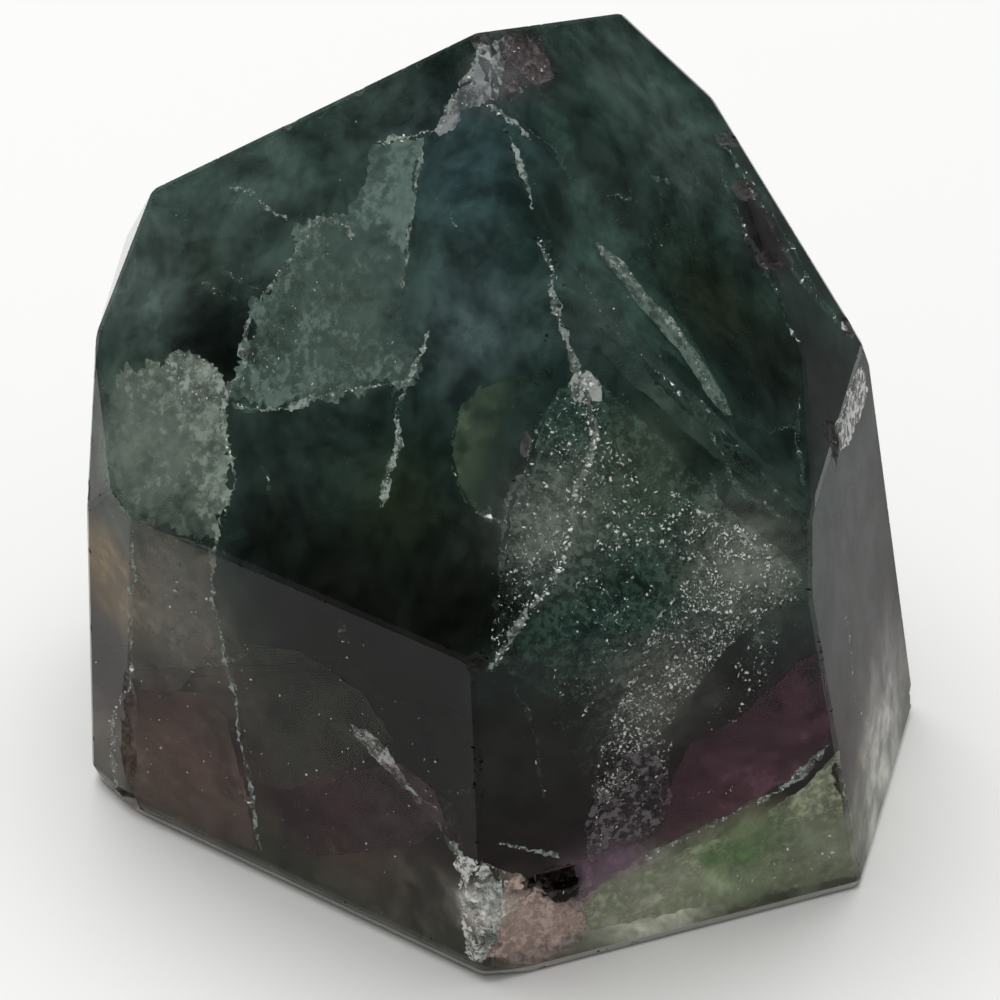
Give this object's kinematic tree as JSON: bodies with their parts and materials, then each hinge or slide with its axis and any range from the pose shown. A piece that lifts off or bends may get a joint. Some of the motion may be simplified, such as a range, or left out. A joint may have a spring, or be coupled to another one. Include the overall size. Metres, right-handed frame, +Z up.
{
  "type": "fluorite point",
  "caption": "Stubby six-sided polished fluorite stone with a lopsided faceted peak, worn edges and a flat base to stand on.",
  "frame": {"origin": "on the flat base, under the middle of the stone's bounding box", "axes": "+Z up from the base to the peak, -Y towards the front edge between the two large side facets, +X to the right seen from the front"},
  "size_m": [0.056, 0.0498, 0.0559],
  "materials": {
    "fluorite": "ground and polished by hand to a soft gloss, see-through in the outer few millimetres, dark green with cloudy veils, purple-brown bands near the foot and frosted broken corners"
  },
  "bodies": {
    "root": {"fluorite_point": "fluorite"}
  },
  "joints": []
}
